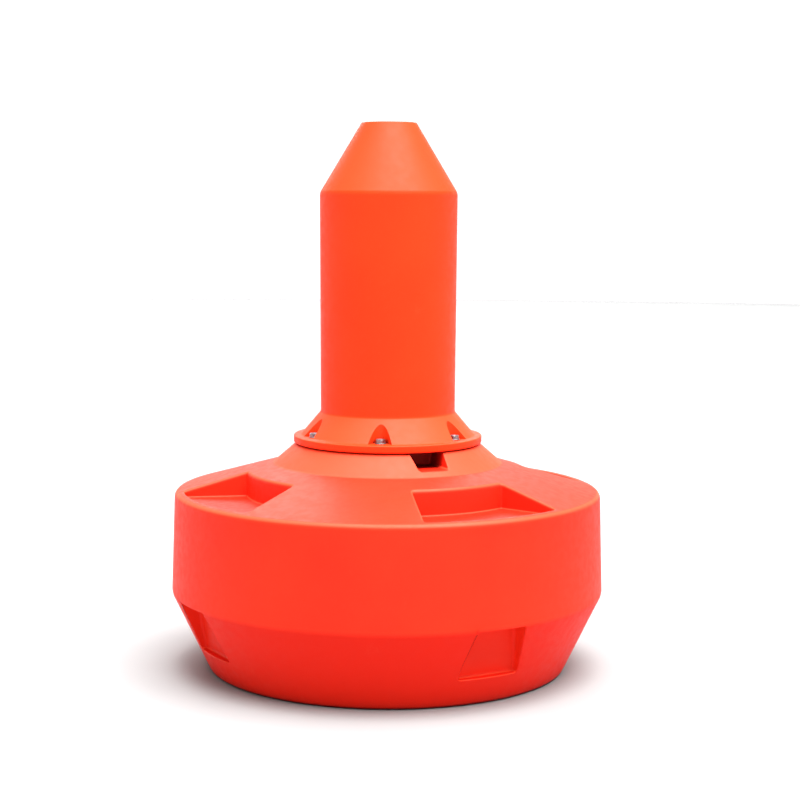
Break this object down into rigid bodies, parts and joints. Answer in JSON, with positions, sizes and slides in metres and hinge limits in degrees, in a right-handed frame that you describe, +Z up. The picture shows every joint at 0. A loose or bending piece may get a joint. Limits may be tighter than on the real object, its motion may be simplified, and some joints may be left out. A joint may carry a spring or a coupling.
{
  "type": "disc-hull navigation buoy with bolted daymark tower",
  "caption": "Moulded orange-red navigation buoy: wide disc float on a flat base, with a bolted daymark tower and a mooring lug recessed underneath.",
  "frame": {"origin": "centre of the flat base that the buoy stands on", "axes": "+Z up along the axis of the tower; -Y is the front; one deck pocket is 30 degrees from -Y towards +X"},
  "size_m": [1.5, 1.5, 1.885],
  "materials": {
    "hull_polyethylene": "satin moulded polyethylene, orange-red",
    "tower_polyethylene": "satin moulded polyethylene, slightly more orange",
    "galvanised_steel": "dull hot-dip galvanised steel",
    "plug_plastic": "black moulded plastic"
  },
  "bodies": {
    "root": {"float_hull": "hull_polyethylene", "daymark_tower": "tower_polyethylene", "mooring_plate": "galvanised_steel", "mooring_lug": "galvanised_steel", "fill_plug_1": "plug_plastic", "fill_plug_2": "plug_plastic"}
  },
  "joints": []
}
